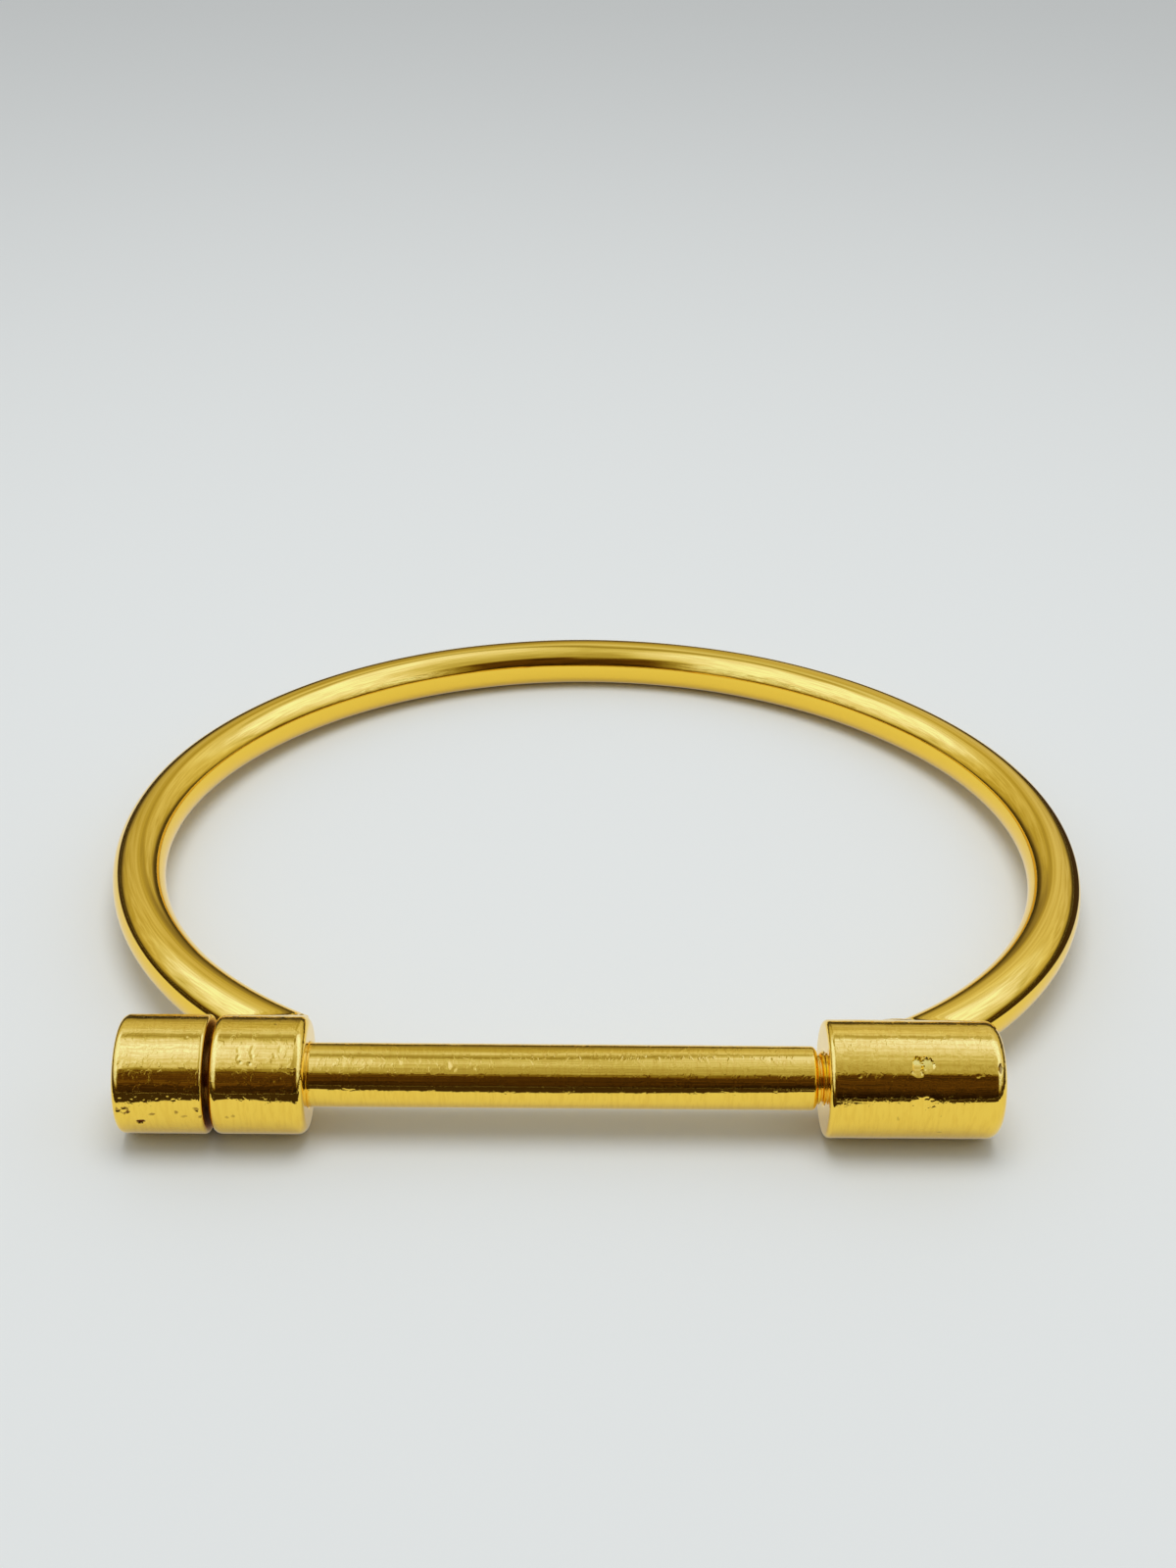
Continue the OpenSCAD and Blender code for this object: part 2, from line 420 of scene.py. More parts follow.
class BangleGold(bpy.types.PropertyGroup):
    """Colour and surface of the gold."""

    colour: colour_property("Colour", "Colour of the gold", (1.0, 0.70, 0.10))
    hair_colour: colour_property(
        "Hairline colour", "Colour of the gold in its fine scratches", (0.95, 0.64, 0.085))
    wire_colour: colour_property("Wire colour", "Colour of the wire's gold", (1.0, 0.68, 0.08))
    cut_colour: colour_property("Cut colour", "Colour of the gold in the cut thread", (1.0, 0.62, 0.01))
    tarnish: colour_property("Tarnish", "Colour of the tarnish in the deeper marks", (0.12, 0.03, 0.006))
    # Partly a stain, partly painted shade on the end faces in the gap between the knob and the left barrel
    gap_stain_and_shade: colour_property(
        "Stain", "Colour of the end faces in the gap between the knob and the left barrel", (0.38, 0.10, 0.0))
    scraped: colour_property(
        "Scraped", "Colour of the gold where a mark has scraped it", (1.0, 0.80, 0.14))
    roughness: FloatProperty(
        name="Roughness", description="Roughness of the polished gold", default=0.045, subtype="FACTOR")
    hairline: length_property(
        "Hairlines", "Depth of the fine scratches round the barrels and the bar", 0.004 * MM, precision=6)


class BangleStage(bpy.types.PropertyGroup):
    """The floor, the light and the camera."""

    floor_colour: colour_property("Floor", "Colour of the floor", (0.80, 0.83, 0.83))
    floor_glow: colour_property(
        "Floor glow", "Light that the gold mirrors from the floor, besides its own", (0.80, 0.78, 0.74))
    backdrop: colour_property(
        "Backdrop", "Colour that the camera sees past the floor", (0.45, 0.47, 0.47))
    floor_radius: length_property("Floor radius", "Radius of the floor", 6.0)
    bright_radius: length_property(
        "Bright radius", "Radius of the floor that the gold mirrors brightly", 52 * MM)
    dome: FloatProperty(
        name="Dome light", description="Strength of the light from all round on the floor", default=0.56)
    lamp: FloatProperty(
        name="Lamp", description="Power of the soft lamp over the floor", default=0.42, unit="POWER")
    lamp_width: length_property("Lamp width", "Width of the soft lamp", 220 * MM)
    lamp_place: place_property("Lamp place", "Where the lamp hangs", (0, -10 * MM, 320 * MM))
    camera_place: place_property(
        "Camera place", "Where the camera stands", (-2.814 * MM, -116.773 * MM, 75.246 * MM))
    focal_length: FloatProperty(
        name="Focal length", description="Focal length of the lens on a sensor 36 mm high", default=45.0)
    pitch: angle_property("Pitch", "How far the camera looks down", 30.328)
    yaw: angle_property("Yaw", "How far the camera looks to the right", 1.033)
    roll: angle_property("Roll", "How far the camera is turned about its line of sight", 1.086)


class WireRun:
    """The wire's middle line: an arc at the back and a tighter arc at each side, which ends in a barrel."""

    def __init__(self):
        sizes = bpy.context.scene.bangle_wire
        self.wire_r = sizes.thickness / 2
        half_width = (HOOP_HIGH.x - HOOP_LOW.x) / 2 - self.wire_r
        self.back_r = half_width + sizes.back_bend_extra
        self.side_r = half_width - sizes.side_bend_less
        self.back_turn = asin(sizes.side_bend_less / (sizes.side_bend_less + sizes.back_bend_extra))
        self.side_x = half_width - self.side_r
        self.side_y = BARREL_R + self.side_r * cos(sizes.land_slope)
        self.back_y = self.side_y - (self.back_r - self.side_r) * cos(self.back_turn)
        self.depth = self.back_y + self.back_r
        self.end_turn = pi - sizes.land_slope + BARREL_R / self.side_r
        self.back_length = self.back_r * self.back_turn

    def place(self, x, y):
        """Distance along the middle line from the middle of the back, and the distance out from it."""
        turn = atan2(abs(x), y - self.back_y)
        if turn <= self.back_turn:
            along = self.back_r * turn
            out = hypot(x, y - self.back_y) - self.back_r
        else:
            turn = atan2(abs(x) - self.side_x, y - self.side_y) % tau
            along = self.back_length + self.side_r * (turn - self.back_turn)
            out = hypot(abs(x) - self.side_x, y - self.side_y) - self.side_r
        return (along if x > 0 else -along), out

    def middle(self, along):
        """The point of the middle line at this distance along it."""
        far = abs(along)
        if far <= self.back_length:
            turn = far / self.back_r
            x, y = self.back_r * sin(turn), self.back_y + self.back_r * cos(turn)
        else:
            turn = self.back_turn + (far - self.back_length) / self.side_r
            x, y = self.side_x + self.side_r * sin(turn), self.side_y + self.side_r * cos(turn)
        return Vector((x if along > 0 else -x, y))

    def laid_down(self):
        """Turns the line's flat plane about the bar's axis, until it leans on the floor at the back."""
        lean = asin((BARREL_R - self.wire_r) / self.depth)
        return Matrix.Translation((0, BAR_Y, BAR_Z)) @ Matrix.Rotation(-lean, 4, "X")


class Socket:
    """An output of a shader node. Python's operators on it add Math nodes."""

    def __init__(self, graph, socket):
        self.graph = graph
        self.socket = socket

    def out(self, name):
        """Another output of the same node."""
        return Socket(self.graph, self.socket.node.outputs[name])

    def math(self, operation, *others):
        return self.graph.add("ShaderNodeMath", {"operation": operation}, (self, *others))

    def __add__(self, other):
        return self.math("ADD", other)

    __radd__ = __add__

    def __sub__(self, other):
        return self.math("SUBTRACT", other)

    def __rsub__(self, other):
        return self.graph.add("ShaderNodeMath", {"operation": "SUBTRACT"}, (other, self))

    def __mul__(self, other):
        return self.math("MULTIPLY", other)

    __rmul__ = __mul__

    def __truediv__(self, other):
        return self.math("DIVIDE", other)

    def __neg__(self):
        return self * -1

    def __abs__(self):
        return self.math("ABSOLUTE")


class Graph:
    """Adds nodes to the node tree of a material or a world."""

    def __init__(self, owner):
        owner.use_nodes = True
        self.tree = owner.node_tree
        self.tree.nodes.clear()

    def add(self, kind, settings=None, inputs=(), output=0):
        """A new node with these settings, and with these values or links in its sockets."""
        node = self.tree.nodes.new(kind)
        for name, value in (settings or {}).items():
            if name == "stops":
                self.set_stops(node.color_ramp, value)
            else:
                setattr(node, name, value)
        for key, value in inputs.items() if isinstance(inputs, dict) else enumerate(inputs):
            if isinstance(value, Socket):
                self.tree.links.new(value.socket, node.inputs[key])
            else:
                node.inputs[key].default_value = value
        return Socket(self, node.outputs[output]) if node.outputs else node

    @staticmethod
    def set_stops(ramp, stops):
        """Gives a colour ramp its (position, colour) stops."""
        while len(ramp.elements) < len(stops):
            ramp.elements.new(1)
        for element, (position, colour) in zip(ramp.elements, stops):
            element.position = position
            element.color = (*colour, 1)

    def ramp(self, value, stops):
        return self.add("ShaderNodeValToRGB", {"stops": stops}, (value,))

    def mix(self, factor, first, second):
        """A colour between two colours."""
        opaque = [(*colour, 1) if isinstance(colour, tuple) else colour for colour in (first, second)]
        return self.add(
            "ShaderNodeMix", {"data_type": "RGBA"}, {0: factor, 6: opaque[0], 7: opaque[1]}, output=2)

    def rise(self, value, low, high, bottom=0.0, top=1.0):
        """Rises smoothly from bottom to top as the value goes from low to high."""
        return self.add(
            "ShaderNodeMapRange", {"interpolation_type": "SMOOTHSTEP"}, (value, low, high, bottom, top))

    def scaled(self, vector, scale):
        """A vector with its parts multiplied by a scale of their own."""
        return self.add("ShaderNodeVectorMath", {"operation": "MULTIPLY"}, (vector, scale))

    def noise(self, vector, detail=2.0, roughness=0.5):
        """Noise from 0 to 1 whose waves are about one unit of the vector long."""
        return self.add(
            "ShaderNodeTexNoise", None,
            {"Vector": vector, "Scale": 1.0, "Detail": detail, "Roughness": roughness})


def brushed_gold():
    """Gold with fine scratches that run round the barrels, the knob and the bar."""
    look = bpy.context.scene.bangle_gold
    material = bpy.data.materials.new("brushed_gold")
    graph = Graph(material)
    place = graph.add("ShaderNodeTexCoord").out("Object")
    hairs = graph.noise(graph.scaled(place, HAIR_WAVES), roughness=0.6)
    strokes = graph.noise(graph.scaled(place, STROKE_WAVES), roughness=0.6)
    worn = graph.noise(graph.scaled(place, WORN_WAVES))
    scratched = graph.rise(strokes, 0.50, 0.68) * graph.rise(worn, 0.3, 0.6, 0.5, 1.8)
    height = hairs * HAIR_HEIGHT + scratched * STROKE_HEIGHT
    normal = graph.add(
        "ShaderNodeBump", None, {"Strength": 1.0, "Distance": look.hairline, "Height": height})
    tarnish = graph.add("ShaderNodeAttribute", {"attribute_name": "tarnish"}, output="Fac")
    scraped = graph.rise(tarnish, -1.0, 0.0, 1.0, 0.0)
    # Partly a stain, partly painted shade in the knob's gap, darker further in from the rims of its end faces
    stained = graph.add("ShaderNodeAttribute", {"attribute_name": "stained"}, output="Fac")
    colour = graph.mix(graph.rise(hairs, 0.3, 0.6), look.hair_colour[:], look.colour[:])
    colour = graph.mix(tarnish, colour, look.tarnish[:])
    colour = graph.mix(scraped, colour, look.scraped[:])
    colour = graph.mix(stained, colour, look.gap_stain_and_shade[:])
    roughness = graph.rise(scratched, 0.0, 1.0, *(look.roughness * share for share in TURNED_ROUGHNESS))
    marked = tarnish.math("MAXIMUM", 0.0) + scraped
    roughness = roughness + marked * MARK_ROUGHNESS + stained * GAP_STAIN_AND_SHADE_ROUGHNESS
    gold_surface(graph, colour, roughness, normal)
    return material


def polished_gold():
    """Gold of the wire, polished along its length and worn by fine strokes across it."""
    look = bpy.context.scene.bangle_gold
    material = bpy.data.materials.new("polished_gold")
    graph = Graph(material)
    run = graph.add("ShaderNodeAttribute", {"attribute_name": "wire_run"}, output="Vector")
    strokes = graph.noise(graph.scaled(run, WIRE_STROKE_WAVES), roughness=0.6)
    draws = graph.noise(graph.scaled(run, WIRE_DRAW_WAVES))
    worn = graph.noise(graph.scaled(run, WIRE_WORN_WAVES))
    height = strokes * WIRE_STROKE_HEIGHT + draws * WIRE_DRAW_HEIGHT
    normal = graph.add(
        "ShaderNodeBump", None, {"Strength": 1.0, "Distance": look.hairline * WIRE_DEPTH, "Height": height})
    roughness = graph.rise(worn, 0.35, 0.7, *(look.roughness * share for share in WIRE_ROUGHNESS))
    gold_surface(graph, (*look.wire_colour, 1), roughness, normal)
    return material


def cut_gold():
    """Gold of the thread, as the cutter left it: fresh, satin and never polished."""
    look = bpy.context.scene.bangle_gold
    material = bpy.data.materials.new("cut_gold")
    graph = Graph(material)
    place = graph.add("ShaderNodeTexCoord").out("Object")
    grain = graph.noise(graph.scaled(place, GRAIN_WAVES), detail=1.0)
    normal = graph.add(
        "ShaderNodeBump", None, {"Strength": 1.0, "Distance": look.hairline, "Height": grain})
    colour = graph.mix(graph.rise(grain, 0.3, 0.7), look.cut_colour[:], look.colour[:])
    gold_surface(graph, colour, graph.rise(grain, 0.3, 0.7, *CUT_ROUGHNESS), normal)
    return material


def gold_surface(graph, colour, roughness, normal):
    """The metal itself, with a roughness and a normal that change over the surface."""
    surface = graph.add("ShaderNodeBsdfPrincipled", None, {
        "Base Color": colour, "Metallic": 1.0, "Roughness": roughness, "Normal": normal})
    graph.add("ShaderNodeOutputMaterial", None, {"Surface": surface})


def add_piece(name, bm, material, body):
    """Puts a bmesh into the scene as a smooth piece that rides on a body of the frame."""
    bmesh.ops.remove_doubles(bm, verts=bm.verts, dist=WELD)
    bmesh.ops.recalc_face_normals(bm, faces=bm.faces)
    mesh = bpy.data.meshes.new(name)
    bm.to_mesh(mesh)
    bm.free()
    mesh.shade_smooth()
    mesh.set_sharp_from_angle(angle=SHARP)
    mesh.materials.append(material)
    piece = bpy.data.objects.new(name, mesh)
    bpy.context.scene.collection.objects.link(piece)
    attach(piece, body)
    return piece


def turn_round(bm, corners, sides, spacing):
    """Turns an outline of (distance along the bar, radius, rounding) corners round the bar's axis."""
    verts = [bm.verts.new((x, BAR_Y, BAR_Z + radius)) for x, radius, _ in corners]
    for pair in zip(verts, verts[1:]):
        bm.edges.new(pair)
    if (verts[0].co - verts[-1].co).length < WELD:
        bmesh.ops.remove_doubles(bm, verts=bm.verts, dist=WELD)
    rounded = [
        (vert, rounding) for vert, (_, _, rounding) in zip(verts, corners) if rounding and vert.is_valid]
    for vert, rounding in rounded:
        bmesh.ops.bevel(
            bm, geom=[vert], offset=rounding, offset_type="OFFSET", segments=8, profile=0.5,
            affect="VERTICES", material=-1)
    outside = BAR_Z + BORE_SHARE * max(radius for _, radius, _ in corners)
    for edge in list(bm.edges):
        start, end = (vert.co for vert in edge.verts)
        plain = abs(start.x - end.x) < abs(start.z - end.z) or start.z < outside
        cuts = ceil(edge.calc_length() / (PLAIN_SPACING if plain else spacing)) - 1
        if cuts > 0:
            bmesh.ops.subdivide_edges(bm, edges=[edge], cuts=cuts)
    bmesh.ops.spin(
        bm, geom=list(bm.verts) + list(bm.edges), cent=(0, BAR_Y, BAR_Z), axis=(1, 0, 0), dvec=(0, 0, 0),
        angle=tau, steps=sides, use_merge=True, use_duplicate=False)


def wear(bm, marks, radius, ripple, seed):
    """Presses the marks into a turned surface, and gives it the slow ripple of hand polishing."""
    tarnish = bm.verts.layers.float.new("tarnish")
    for vert in bm.verts:
        across, up = vert.co.y - BAR_Y, vert.co.z - BAR_Z
        reach = hypot(across, up)
        if reach < radius - WORN_DEPTH:
            continue
        angle = atan2(up, -across)
        place = Vector((vert.co.x + seed, across, up))
        depth = ripple * (noise.noise(place / LONG_WAVE) + SHORT_SHARE * noise.noise(place / SHORT_WAVE))
        uneven = 1 + FRAY_SHARE * noise.noise(place / FRAY_WAVE)
        for mark in marks:
            along = vert.co.x - mark.x * MM
            if abs(along) > max(mark.length, mark.width) * MM:
                continue
            pressed = press(mark, along, radius * (angle - radians(mark.angle)), uneven)
            depth += mark.depth * MM * pressed
            if abs(mark.tarnish) > abs(vert[tarnish]):
                vert[tarnish] = mark.tarnish * min(TARNISH_SPREAD * pressed, 1)
        vert.co.y -= across / reach * depth
        vert.co.z -= up / reach * depth


def gap_stain_and_shade(bm, low, high):
    """Stains the end face between these places along the bar, in the knob's gap, and paints shade on it."""
    stained = bm.verts.layers.float.new("stained")
    for vert in bm.verts:
        if low - WELD <= vert.co.x <= high + WELD:
            reach = hypot(vert.co.y - BAR_Y, vert.co.z - BAR_Z)
            vert[stained] = GAP_STAIN_AND_SHADE * min(max((BARREL_R - reach) / GAP_STAIN_AND_SHADE_DEPTH, 0), 1)


def press(mark, along, around, uneven):
    """How far a mark with an uneven edge reaches down, from 0 to 1, at this distance from its middle."""
    turn = radians(mark.turn)
    far_x = (along * cos(turn) + around * sin(turn)) / (mark.length * MM / 2)
    far_y = (around * cos(turn) - along * sin(turn)) / (mark.width * MM / 2)
    far = hypot(far_x, far_y) * uneven
    if mark.shape == "ring":
        return max(1 - abs(far - 0.75) / 0.25, 0)
    if mark.shape == "pit":
        return max(1 - far ** 4, 0)
    if mark.shape == "cut":
        return max(0.5 + 0.5 * far_y, 0) if far < 1 else 0
    return max(1 - far, 0)


class BANGLE_OT_wire(bpy.types.Operator):
    """Bends the round wire of the hoop and solders its ends to the backs of the barrels"""

    bl_idname = "bangle.wire"
    bl_label = "Wire"

    def execute(self, context):
        sizes = context.scene.bangle_wire
        run = WireRun()
        bm = bmesh.new()
        self.bend(bm, sizes, run)
        self.solder(bm, sizes, run)
        self.trim(bm, context.scene)
        wire_run = bm.verts.layers.float_vector.new("wire_run")
        for vert in bm.verts:
            along, out = run.place(vert.co.x, vert.co.y)
            vert[wire_run] = (along, out, vert.co.z)
        bmesh.ops.transform(bm, matrix=run.laid_down(), verts=bm.verts)
        piece = add_piece("wire", bm, polished_gold(), "hoop_body")
        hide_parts("hoop")
        return {"FINISHED"}

    @staticmethod
    def bend(bm, sizes, run):
        """One ring of the wire's section, spun through the right side, the back and the left side."""
        out = Vector((sin(run.end_turn), cos(run.end_turn), 0))
        up = Vector((0, 0, 1))
        centre = Vector((run.side_x, run.side_y, 0)) + run.side_r * out
        place = Matrix.Translation(centre) @ Matrix((out, up, out.cross(up))).transposed().to_4x4()
        ring = bmesh.ops.create_circle(
            bm, cap_ends=False, radius=run.wire_r, segments=sizes.sides, matrix=place)["verts"]
        side_turn = run.end_turn - run.back_turn
        bends = (
            (run.side_x, run.side_y, run.side_r, side_turn),
            (0, run.back_y, run.back_r, 2 * run.back_turn),
            (-run.side_x, run.side_y, run.side_r, side_turn),
        )
        geom = ring + list({edge for vert in ring for edge in vert.link_edges})
        for x, y, radius, turn in bends:
            steps = ceil(radius * turn / sizes.ring_gap)
            geom = bmesh.ops.spin(
                bm, geom=geom, cent=(x, y, 0), axis=(0, 0, 1), dvec=(0, 0, 0), angle=turn, steps=steps,
                use_merge=False, use_duplicate=False)["geom_last"]

    @staticmethod
    def solder(bm, sizes, run):
        """Flares the wire where it comes to a barrel, and gives it the slow waves of bending by hand."""
        for vert in bm.verts:
            along, out = run.place(vert.co.x, vert.co.y)
            away = hypot(vert.co.y, vert.co.z) - BARREL_R
            wave = Vector((along / BEND_WAVE, out / CROSS_WAVE, vert.co.z / CROSS_WAVE))
            grow = sizes.waviness * noise.noise(wave)
            near = 1 - min(max(away / sizes.solder, 0), 1)
            if vert.co.y < run.side_y:
                grow += SOLDER_SHARE * sizes.solder * (1 - sqrt(1 - near * near))
                if vert.co.x < 0:
                    inside = max(-out / run.wire_r, 0)
                    thick = 1 - (min(max(away, 0), sizes.swell_reach) / sizes.swell_reach) ** 2
                    grow += sizes.swell * thick * inside
            stretch = grow / run.wire_r
            flat = vert.co.xy - run.middle(along)
            vert.co += Vector((flat.x, flat.y, vert.co.z)) * stretch

    @staticmethod
    def trim(bm, scene):
        """Takes away what would lie in the bores, and files the left end flush with its barrel's rim."""
        sizes = scene.bangle_barrels
        sunk = [vert for vert in bm.verts if hypot(vert.co.y, vert.co.z) < BARREL_R - SUNK_WALL]
        bmesh.ops.delete(bm, geom=sunk, context="VERTS")
        flush_x = left_barrel_x(scene) + sizes.left_length - sizes.left_rim
        landing = [item for item in (*bm.verts, *bm.edges, *bm.faces) if lands_left(item)]
        bmesh.ops.bisect_plane(
            bm, geom=landing, plane_co=(flush_x, 0, 0), plane_no=(1, 0, 0), clear_outer=True)
        bmesh.ops.holes_fill(bm, edges=[edge for edge in bm.edges if edge.is_boundary], sides=0)
        bmesh.ops.triangulate(bm, faces=[face for face in bm.faces if len(face.verts) > 4])


def lands_left(item):
    """Whether a vertex, an edge or a face lies where the wire comes down on the left barrel."""
    verts = [item] if isinstance(item, bmesh.types.BMVert) else item.verts
    return verts[0].co.x < 0 and min(vert.co.y for vert in verts) < 3 * BARREL_R


def left_barrel_x(scene):
    """Where the left barrel starts, past the knob and its gap."""
    return KNOB_X + scene.bangle_screw_bar.knob_length + scene.bangle_screw_bar.undone


class BANGLE_OT_barrels(bpy.types.Operator):
    """Turns the left barrel with its plain bore and the closed right barrel with its blind bore"""

    bl_idname = "bangle.barrels"
    bl_label = "Barrels"

    def execute(self, context):
        material = brushed_gold()
        self.left(context.scene, material)
        self.right(context.scene, material)
        return {"FINISHED"}

    @staticmethod
    def left(scene, material):
        """The short barrel that the bar runs through."""
        sizes = scene.bangle_barrels
        low = left_barrel_x(scene)
        high = low + sizes.left_length
        bore = BAR_R + sizes.bore_clearance
        bm = bmesh.new()
        turn_round(bm, (
            (low, bore, sizes.mouth),
            (low, BARREL_R, sizes.left_rim),
            (high, BARREL_R, sizes.left_rim),
            (high, bore, sizes.mouth),
            (low, bore, 0),
        ), sizes.sides, BARREL_SPACING)
        wear(bm, LEFT_MARKS, BARREL_R, LEFT_RIPPLE, seed=1.0)
        # Stain and painted shade on the end face in the knob's gap
        gap_stain_and_shade(bm, low, low + sizes.mouth)
        add_piece("left_barrel", bm, material, "hoop_body")

    @staticmethod
    def right(scene, material):
        """The longer barrel, closed at its outer end, that the bar screws into."""
        sizes = scene.bangle_barrels
        low = RIGHT_X - sizes.right_length
        bore = scene.bangle_screw_bar.thread_radius + sizes.bore_clearance
        bm = bmesh.new()
        turn_round(bm, (
            (TIP_X + sizes.tip_gap, 0, 0),
            (TIP_X + sizes.tip_gap, bore, 0),
            (low, bore, sizes.mouth),
            (low, BARREL_R, sizes.right_rim),
            (RIGHT_X, BARREL_R, sizes.end_rim),
            (RIGHT_X, 0, 0),
        ), sizes.sides, BARREL_SPACING)
        wear(bm, RIGHT_MARKS, BARREL_R, RIGHT_RIPPLE, seed=2.0)
        add_piece("right_barrel", bm, material, "hoop_body")


class BANGLE_OT_screw_bar(bpy.types.Operator):
    """Turns the knob, the bar and its core, and cuts the thread on it"""

    bl_idname = "bangle.screw_bar"
    bl_label = "Screw bar"

    def execute(self, context):
        scene = context.scene
        sizes = scene.bangle_screw_bar
        material = brushed_gold()
        knob_end = KNOB_X + sizes.knob_length
        shoulder = RIGHT_X - scene.bangle_barrels.right_length - sizes.shoulder_gap
        core = sizes.thread_radius - sizes.depth
        self.knob(scene, material, knob_end)
        self.bar(sizes, material, knob_end, shoulder, core)
        self.thread(sizes, shoulder, core)
        return {"FINISHED"}

    @staticmethod
    def knob(scene, material, knob_end):
        """The knob, hollow at its middle, where the bar is sunk in it."""
        sizes = scene.bangle_screw_bar
        hollow = 0.9 * BAR_R
        bm = bmesh.new()
        turn_round(bm, (
            (KNOB_X, 0, 0),
            (KNOB_X, BARREL_R, sizes.knob_rim),
            (knob_end, BARREL_R, sizes.knob_inner_rim),
            (knob_end, hollow, 0),
            (knob_end - sizes.knob_rim, 0, 0),
        ), scene.bangle_barrels.sides, BARREL_SPACING)
        wear(bm, KNOB_MARKS, BARREL_R, KNOB_RIPPLE, seed=3.0)
        # Stain and painted shade on the end face in the knob's gap
        gap_stain_and_shade(bm, knob_end - sizes.knob_inner_rim / 2, knob_end)
        piece = add_piece("knob", bm, material, "bar_body")
        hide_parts("screw_bar")

    @staticmethod
    def bar(sizes, material, knob_end, shoulder, core):
        """The round bar from inside the knob to its shoulder, and the thinner core of the thread."""
        start = knob_end - sizes.knob_rim / 2
        bm = bmesh.new()
        turn_round(bm, (
            (start, 0, 0),
            (start, BAR_R, 0),
            (shoulder - sizes.bevel, BAR_R, sizes.bevel / 3),
            (shoulder, BAR_R - sizes.bevel, sizes.bevel / 3),
            (shoulder, core, 0),
            (TIP_X, core, sizes.depth),
            (TIP_X, 0, 0),
        ), sizes.sides, BAR_SPACING)
        wear(bm, BAR_MARKS, BAR_R, BAR_RIPPLE, seed=4.0)
        add_piece("bar", bm, material, "bar_body")

    @staticmethod
    def thread(sizes, shoulder, core):
        """A ridge wound round the core from inside the shoulder to short of the tip."""
        turns = round((TIP_X - shoulder) / sizes.pitch) - 1
        steps = 48
        foot = 0.46 * sizes.pitch
        crest = 0.18 * sizes.pitch
        root = core - RIDGE_ROOT
        outline = (
            (-foot, root),
            (-crest, sizes.thread_radius),
            (crest, sizes.thread_radius),
            (foot, root),
        )
        bm = bmesh.new()
        verts = [bm.verts.new((shoulder + x, BAR_Y, BAR_Z + radius)) for x, radius in outline]
        face = bm.faces.new(verts)
        bmesh.ops.spin(
            bm, geom=[face], cent=(shoulder, BAR_Y, BAR_Z), axis=(1, 0, 0),
            dvec=(sizes.pitch / steps, 0, 0), angle=tau * turns, steps=turns * steps,
            use_merge=False, use_duplicate=False)
        add_piece("thread", bm, cut_gold(), "bar_body")


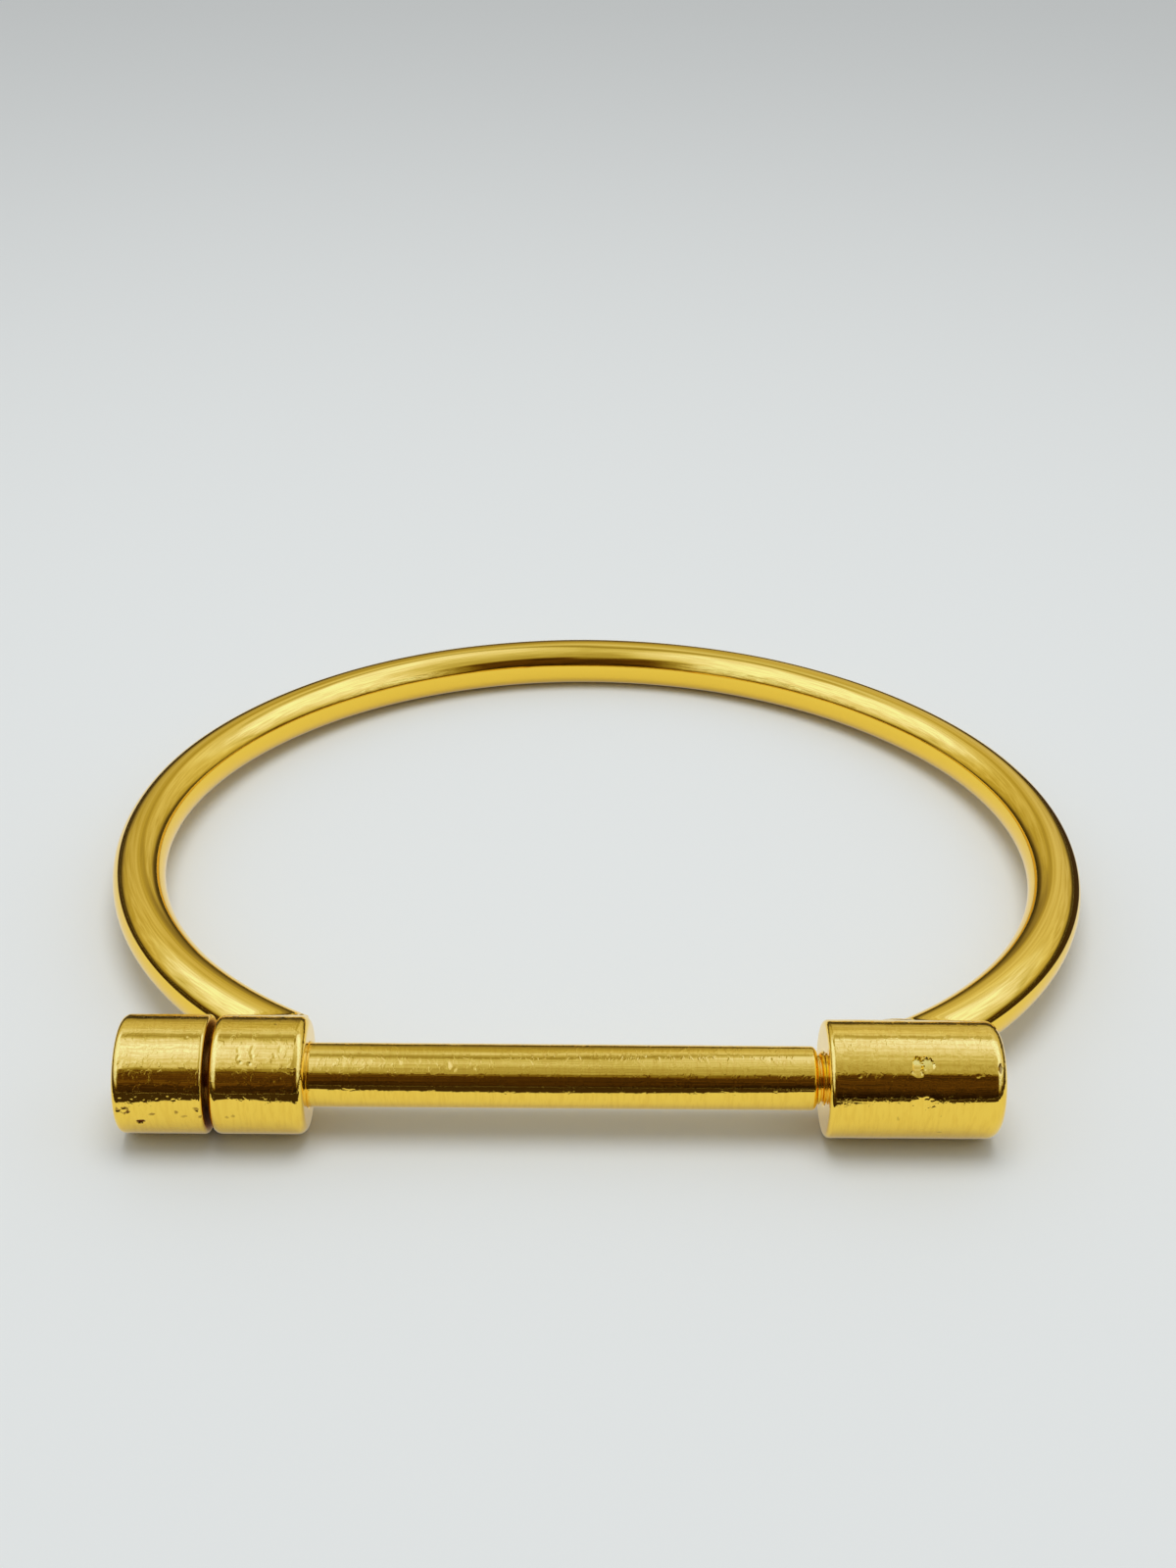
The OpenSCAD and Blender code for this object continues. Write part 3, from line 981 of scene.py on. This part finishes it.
class BANGLE_OT_stage(bpy.types.Operator):
    """Lays the floor, lights it softly and sets up the camera"""

    bl_idname = "bangle.stage"
    bl_label = "Stage"

    def execute(self, context):
        scene = context.scene
        stage = scene.bangle_stage
        scene.view_settings.view_transform = "Standard"
        self.floor(scene, stage)
        self.surround(scene, stage)
        self.lamp(scene, stage)
        scene.world = self.studio(stage)
        self.camera(scene, stage)
        return {"FINISHED"}

    @staticmethod
    def disc(scene, name, material, radius, height):
        """A flat round of the stage."""
        bm = bmesh.new()
        bmesh.ops.create_circle(
            bm, cap_ends=True, radius=radius, segments=96, matrix=Matrix.Translation((0, 0, height)))
        bmesh.ops.recalc_face_normals(bm, faces=bm.faces)
        mesh = bpy.data.meshes.new(name)
        bm.to_mesh(mesh)
        bm.free()
        mesh.materials.append(material)
        thing = bpy.data.objects.new(name, mesh)
        scene.collection.objects.link(thing)
        return thing

    def floor(self, scene, stage):
        """The plain pale floor, which looks brighter where the gold mirrors it."""
        material = bpy.data.materials.new("floor")
        graph = Graph(material)
        pale = graph.add("ShaderNodeBsdfDiffuse", None, {"Color": (*stage.floor_colour, 1)})
        glow = graph.add("ShaderNodeEmission", None, {"Color": (*stage.floor_glow, 1), "Strength": 1.0})
        share = self.mirrored(graph) * FLOOR_GLOW_SHARE
        surface = graph.add("ShaderNodeMixShader", None, (share, pale, glow))
        graph.add("ShaderNodeOutputMaterial", None, {"Surface": surface})
        self.disc(scene, "floor", material, stage.floor_radius, 0)

    @staticmethod
    def mirrored(graph):
        """1 for what the camera sees mirrored in the gold and 0 for everything else."""
        glossy = graph.add("ShaderNodeLightPath").out("Is Glossy Ray")
        return glossy * graph.rise(glossy.out("Diffuse Depth"), 0.0, 1.0, 1.0, 0.0)

    def surround(self, scene, stage):
        """The dark card with its bright window, which gives the gold's flanks their dark edges."""
        material = bpy.data.materials.new("surround")
        graph = Graph(material)
        place = graph.add("ShaderNodeTexCoord").out("Object")
        window = self.round_spot(graph, place, (0, 0), stage.bright_radius)
        window = window.math("MAXIMUM", self.round_spot(graph, place, *BRIGHT_SPOT))
        for spot in DARK_SPOTS:
            window = window * (1 - self.round_spot(graph, place, *spot))
        dark = graph.add("ShaderNodeEmission", None, {"Color": (*CARD_COLOUR, 1), "Strength": 1.0})
        clear = graph.add("ShaderNodeBsdfTransparent")
        surface = graph.add("ShaderNodeMixShader", None, (window, dark, clear))
        graph.add("ShaderNodeOutputMaterial", None, {"Surface": surface})
        card = self.disc(scene, "surround", material, CARD_RADIUS, CARD_HEIGHT)
        card.visible_camera = False
        card.visible_diffuse = False
        card.visible_shadow = False
        card.visible_transmission = False

    @staticmethod
    def round_spot(graph, place, middle, radius):
        """1 inside a round spot of the card and 0 outside it, with a soft edge."""
        far = graph.add(
            "ShaderNodeVectorMath", {"operation": "DISTANCE"}, (place, (*middle, CARD_HEIGHT)),
            output="Value")
        return graph.rise(far, radius - SPOT_EDGE, radius + SPOT_EDGE, 1.0, 0.0)

    @staticmethod
    def lamp(scene, stage):
        """A wide soft lamp overhead, which lights the floor and isn't mirrored."""
        light = bpy.data.lights.new("lamp", "AREA")
        light.shape = "DISK"
        light.size = stage.lamp_width
        light.energy = stage.lamp
        lamp = bpy.data.objects.new("lamp", light)
        lamp.location = stage.lamp_place
        lamp.visible_glossy = False
        scene.collection.objects.link(lamp)

    def studio(self, stage):
        """Light from all round: plain on the floor, and in broad bands where the gold mirrors it."""
        world = bpy.data.worlds.new("studio")
        graph = Graph(world)
        way = graph.add("ShaderNodeTexCoord").out("Generated")
        axes = graph.add("ShaderNodeSeparateXYZ", None, (way,))
        x, y, z = (axes.out(name) for name in "XYZ")
        angle = z.math("ARCTAN2", -y) * (180 / pi)
        beside = self.past_bands(graph, x, y, z)
        strength = graph.mix(beside, self.bands(graph, x, angle), self.sides(graph, z))
        strength = strength * self.unevenness(graph, way, angle)
        broad = graph.mix(
            graph.rise(angle, *FRONT_TO_WALL), graph.ramp(strength, LIGHT_COLOURS),
            graph.ramp(strength, WALL_COLOURS))
        low, high = ((share * stage.dome,) * 3 for share in DOME_SHARES)
        plain = graph.mix(graph.rise(angle, *DOME_RISE), low, high)
        colour = graph.mix(self.mirrored(graph), plain, broad)
        seen = graph.add("ShaderNodeLightPath").out("Is Camera Ray")
        colour = graph.mix(seen, colour, stage.backdrop[:])
        background = graph.add("ShaderNodeBackground", None, {"Color": colour, "Strength": 1.0})
        graph.add("ShaderNodeOutputWorld", None, {"Surface": background})
        return world

    @staticmethod
    def bands(graph, x, angle):
        """Strength of the bands about the bar's direction, whose seam overhead slants along the bar."""
        seam = graph.rise(angle, *SEAM_START) * graph.rise(angle, *SEAM_END, 1.0, 0.0)
        slant = graph.rise(x, *KNOB_SLANT) + graph.rise(x, *BARREL_SLANT)
        turn = (angle - slant * seam) / 180
        left, middle, right = (
            graph.ramp(turn, [(band.angle / 180, (getattr(band, place),) * 3) for band in BANDS])
            for place in ("left", "middle", "right"))
        return graph.mix(
            graph.rise(x, *BAR_TO_BARREL), graph.mix(graph.rise(x, *KNOB_TO_BAR), left, middle), right)

    @staticmethod
    def past_bands(graph, x, y, z):
        """0 where the bands are, and 1 past their ends at the sides, where the lights at the sides are."""
        front_end = graph.rise(x, *FRONT_END)
        back_end = graph.rise(z, *BACK_END)
        end = front_end + (back_end - front_end) * graph.rise(y, *FRONT_TO_BACK)
        return graph.rise(abs(x) - end, *BANDS_TO_SIDES)

    @staticmethod
    def sides(graph, z):
        """Strength of the lights at the sides, by the height above the horizon."""
        height = z.math("ARCSINE") / (pi / 2)
        return graph.ramp(height, [(degrees / 90, (strength,) * 3) for degrees, strength in SIDE_LIGHT])

    @staticmethod
    def unevenness(graph, way, angle):
        """Streaks along the bar in the dark band low in front, and faint patches everywhere else."""
        streaks, patches = (
            graph.rise(graph.noise(graph.scaled(way, waves)), 0.35, 0.65, *strengths)
            for waves, strengths in ((STREAK_WAVES, STREAK_STRENGTHS), (PATCH_WAVES, PATCH_STRENGTHS)))
        return streaks + (patches - streaks) * graph.rise(angle, *STREAKS_TO_PATCHES)

    @staticmethod
    def camera(scene, stage):
        """The camera, close in front of the bar and looking down on it."""
        lens = bpy.data.cameras.new("camera")
        lens.sensor_fit = "VERTICAL"
        lens.sensor_height = 36
        lens.lens = stage.focal_length
        lens.clip_start = 0.01
        camera = bpy.data.objects.new("camera", lens)
        scene.collection.objects.link(camera)
        forward = Vector((
            sin(stage.yaw) * cos(stage.pitch), cos(stage.yaw) * cos(stage.pitch), -sin(stage.pitch)))
        level = Vector((cos(stage.yaw), -sin(stage.yaw), 0))
        upright = level.cross(forward)
        right = level * cos(stage.roll) + upright * sin(stage.roll)
        up = upright * cos(stage.roll) - level * sin(stage.roll)
        place = Matrix((right, up, -forward)).transposed().to_4x4()
        place.translation = stage.camera_place
        camera.matrix_world = place
        scene.camera = camera


class BANGLE_PT_panel(bpy.types.Panel):
    """Lists what the bangle is made of"""

    bl_label = "Bangle"
    bl_space_type = "VIEW_3D"
    bl_region_type = "UI"
    bl_category = "Bangle"

    def draw(self, context):
        for operator in OPERATORS:
            self.layout.operator(operator.bl_idname)


GROUPS = {
    "bangle_wire": BangleWire,
    "bangle_barrels": BangleBarrels,
    "bangle_screw_bar": BangleScrewBar,
    "bangle_gold": BangleGold,
    "bangle_stage": BangleStage,
}
OPERATORS = (BANGLE_OT_wire, BANGLE_OT_barrels, BANGLE_OT_screw_bar, BANGLE_OT_stage)


def register():
    for kind in (*GROUPS.values(), *OPERATORS, BANGLE_PT_panel):
        bpy.utils.register_class(kind)
    for name, group in GROUPS.items():
        setattr(bpy.types.Scene, name, PointerProperty(type=group))


def unregister():
    for name in GROUPS:
        delattr(bpy.types.Scene, name)
    for kind in reversed((*GROUPS.values(), *OPERATORS, BANGLE_PT_panel)):
        bpy.utils.unregister_class(kind)


def main():
    register()
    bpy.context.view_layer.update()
    bpy.ops.bangle.wire()
    bpy.ops.bangle.barrels()
    bpy.ops.bangle.screw_bar()
    bpy.ops.bangle.stage()


if __name__ == "__main__":
    main()
